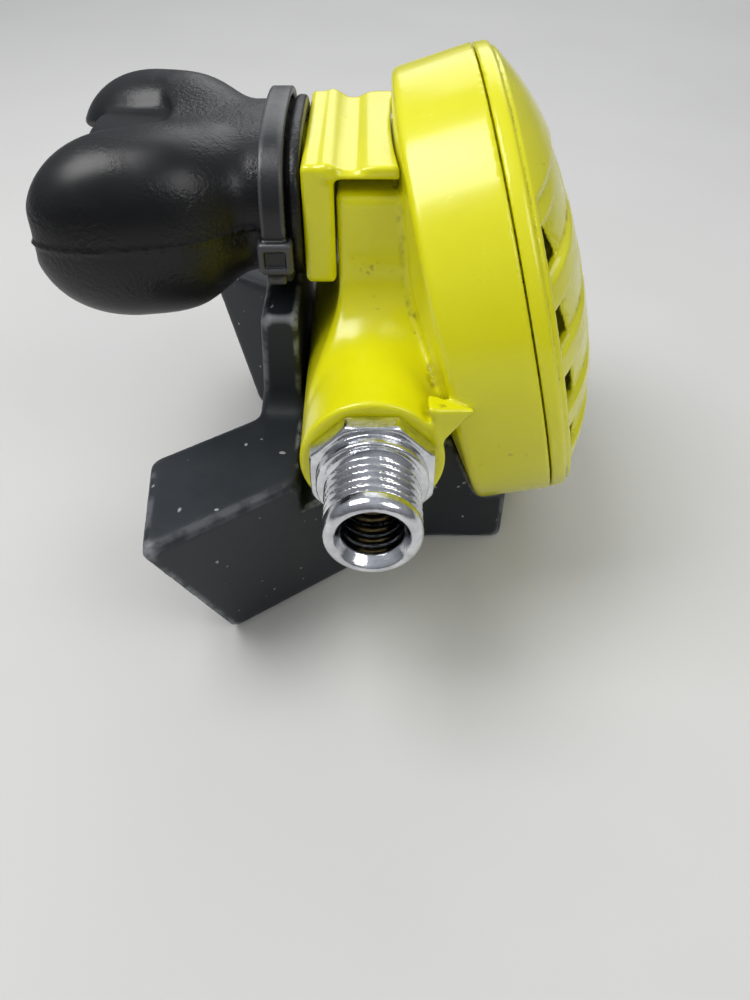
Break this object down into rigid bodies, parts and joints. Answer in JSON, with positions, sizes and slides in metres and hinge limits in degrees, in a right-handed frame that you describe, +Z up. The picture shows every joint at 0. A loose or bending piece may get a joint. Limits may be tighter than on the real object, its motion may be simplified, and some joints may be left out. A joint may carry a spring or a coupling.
{
  "type": "scuba regulator second stage",
  "caption": "Diving demand valve with a round purge cover, threaded hose inlet, soft mouthpiece and a forked exhaust tee it rests on.",
  "frame": {"origin": "bottom centre of the bounding box, on the plane that the exhaust tee rests on", "axes": "+Z up, -Y out of the hose inlet, -X out of the mouthpiece, +X towards the purge cover"},
  "size_m": [0.0904, 0.1096, 0.0835],
  "materials": {
    "yellow_plastic": "glossy moulded lemon yellow",
    "black_rubber": "satin blue-black rubber, scuffed on its edges",
    "black_silicone": "soft satin black silicone",
    "black_nylon": "semi-matt black nylon",
    "chromed_brass": "bright chrome plating",
    "bare_brass": "machined",
    "stainless_steel": "plain",
    "silicone_membrane": "translucent grey",
    "acetal_plastic": "white, machined",
    "nitrile_rubber": "black"
  },
  "bodies": {
    "housing": {"case": "yellow_plastic", "mouthpiece_horn": "yellow_plastic", "mouthpiece": "black_silicone", "mouthpiece_clamp": "black_nylon", "front_cover": "yellow_plastic", "diaphragm_retainer": "acetal_plastic", "diaphragm": "silicone_membrane", "purge_spring": "stainless_steel", "inlet_fitting": "chromed_brass", "inlet_o_ring": "nitrile_rubber", "valve_body": "bare_brass", "orifice": "bare_brass", "orifice_o_ring": "nitrile_rubber", "poppet_spring": "stainless_steel", "end_plug": "yellow_plastic", "plug_o_ring": "nitrile_rubber", "exhaust_tee": "black_rubber"},
    "purge": {"purge_button": "yellow_plastic", "button_clip": "stainless_steel"},
    "diaphragm_centre": {"diaphragm_plate": "stainless_steel"},
    "lever": {"demand_lever": "stainless_steel"},
    "poppet_group": {"poppet": "acetal_plastic", "poppet_seat": "nitrile_rubber", "lever_washer": "stainless_steel", "lever_nut": "bare_brass"},
    "exhaust_flap": {"exhaust_valve": "silicone_membrane"}
  },
  "joints": [
    {"name": "purge_press", "type": "slide", "parent": "housing", "child": "purge", "axis": [-0.9686, 0, -0.2487], "range_m": [0, 0.003], "stiffness_N_per_m": 300, "springref_m": -0.001, "deforming": ["purge_spring"]},
    {"name": "diaphragm_flex", "type": "slide", "parent": "housing", "child": "diaphragm_centre", "axis": [-0.9686, 0, -0.2487], "range_m": [0, 0.0032], "deforming": ["diaphragm"]},
    {"name": "lever_pivot", "type": "hinge", "parent": "housing", "child": "lever", "pos_m": [0.01081, 0.01596, 0.03849], "axis": [0.2487, 0, -0.9686], "range_deg": [0, 12.6]},
    {"name": "poppet_lift", "type": "slide", "parent": "housing", "child": "poppet_group", "axis": [0, 1, 0], "range_m": [0, 0.0012], "deforming": ["poppet_spring"]},
    {"name": "exhaust_lift", "type": "slide", "parent": "housing", "child": "exhaust_flap", "axis": [-0.9686, 0, -0.2487], "range_m": [0, 0.0009], "stiffness_N_per_m": 20}
  ],
  "couplings": [
    {"joint": "diaphragm_flex", "follows": "purge_press", "ratio": 1},
    {"joint": "lever_pivot", "follows": "purge_press", "rad_per_m": 69.93},
    {"joint": "poppet_lift", "follows": "purge_press", "ratio": 0.36364}
  ]
}
